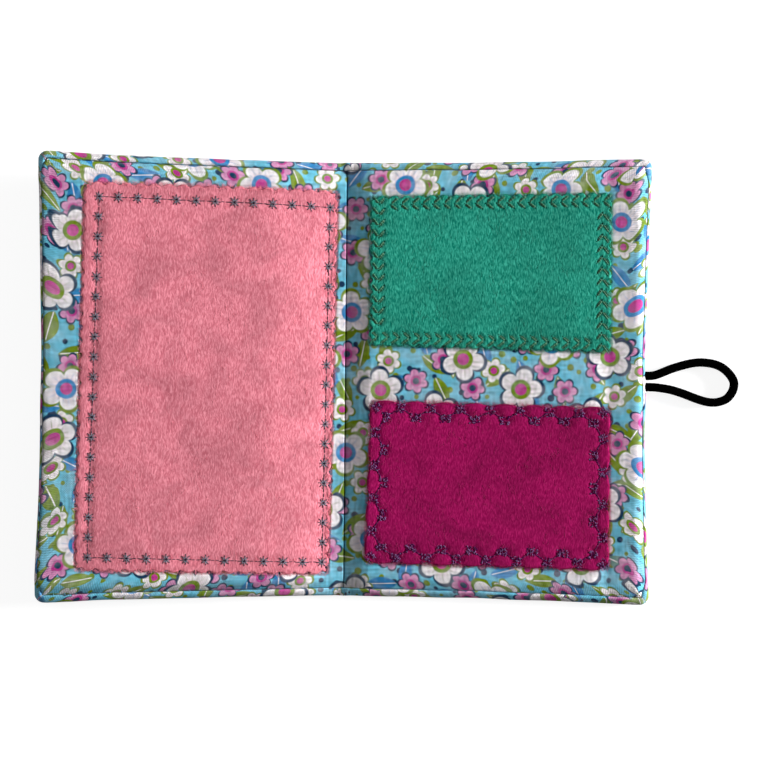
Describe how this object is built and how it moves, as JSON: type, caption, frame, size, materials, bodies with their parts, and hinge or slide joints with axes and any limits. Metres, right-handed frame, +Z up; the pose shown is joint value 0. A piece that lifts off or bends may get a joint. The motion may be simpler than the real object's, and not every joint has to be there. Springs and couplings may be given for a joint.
{
  "type": "needle book",
  "caption": "Padded cloth needle book lying open, with scalloped felt leaves sewn inside, a fold crease, an elastic closing loop and a button on the outside.",
  "frame": {"origin": "on the table under the middle of the crease", "axes": "+X across the back cover away from the crease, +Y along the crease, +Z up from the table"},
  "size_m": [0.2403, 0.1536, 0.013],
  "materials": {
    "printed_cotton": "plain-weave printed cotton, matt",
    "stiffener": "uncoated stiffening board",
    "wadding": "loose white polyester wadding",
    "sewing_thread": "fine sewing thread",
    "pink_felt": "pressed wool-mix felt, fuzzy",
    "green_felt": "pressed wool-mix felt, fuzzy",
    "magenta_felt": "pressed wool-mix felt, fuzzy",
    "slate_thread": "machine embroidery thread, slight sheen",
    "fern_thread": "machine embroidery thread, slight sheen",
    "plum_thread": "machine embroidery thread, slight sheen",
    "black_elastic": "braided round elastic, matt",
    "button_plastic": "polished moulded button"
  },
  "bodies": {
    "back_cover": {"back_outer_cloth": "printed_cotton", "back_stiffener": "stiffener", "back_wadding": "wadding", "back_lining": "printed_cotton", "back_edge_seam": "sewing_thread", "green_felt": "green_felt", "plait_stitching": "fern_thread", "magenta_felt": "magenta_felt", "flower_stitching": "plum_thread", "spine_fold": "printed_cotton", "crease_stitching": "sewing_thread", "elastic_tail_upper": "black_elastic", "elastic_tail_lower": "black_elastic", "elastic_tack": "sewing_thread"},
    "front_cover": {"front_outer_cloth": "printed_cotton", "front_stiffener": "stiffener", "front_wadding": "wadding", "front_lining": "printed_cotton", "front_edge_seam": "sewing_thread", "pink_felt": "pink_felt", "star_stitching": "slate_thread", "button": "button_plastic", "button_thread": "slate_thread"},
    "loop": {"elastic_loop": "black_elastic"}
  },
  "joints": [
    {"name": "fold", "type": "hinge", "parent": "back_cover", "child": "front_cover", "pos_m": [0, 0, 0.0081], "axis": [0, 1, 0], "range_deg": [-3.32, 176.67]},
    {"name": "loop_swing", "type": "hinge", "parent": "back_cover", "child": "loop", "pos_m": [0.1048, 0, 0.0027], "axis": [0, -1, 0], "range_deg": [-90, 90]}
  ]
}
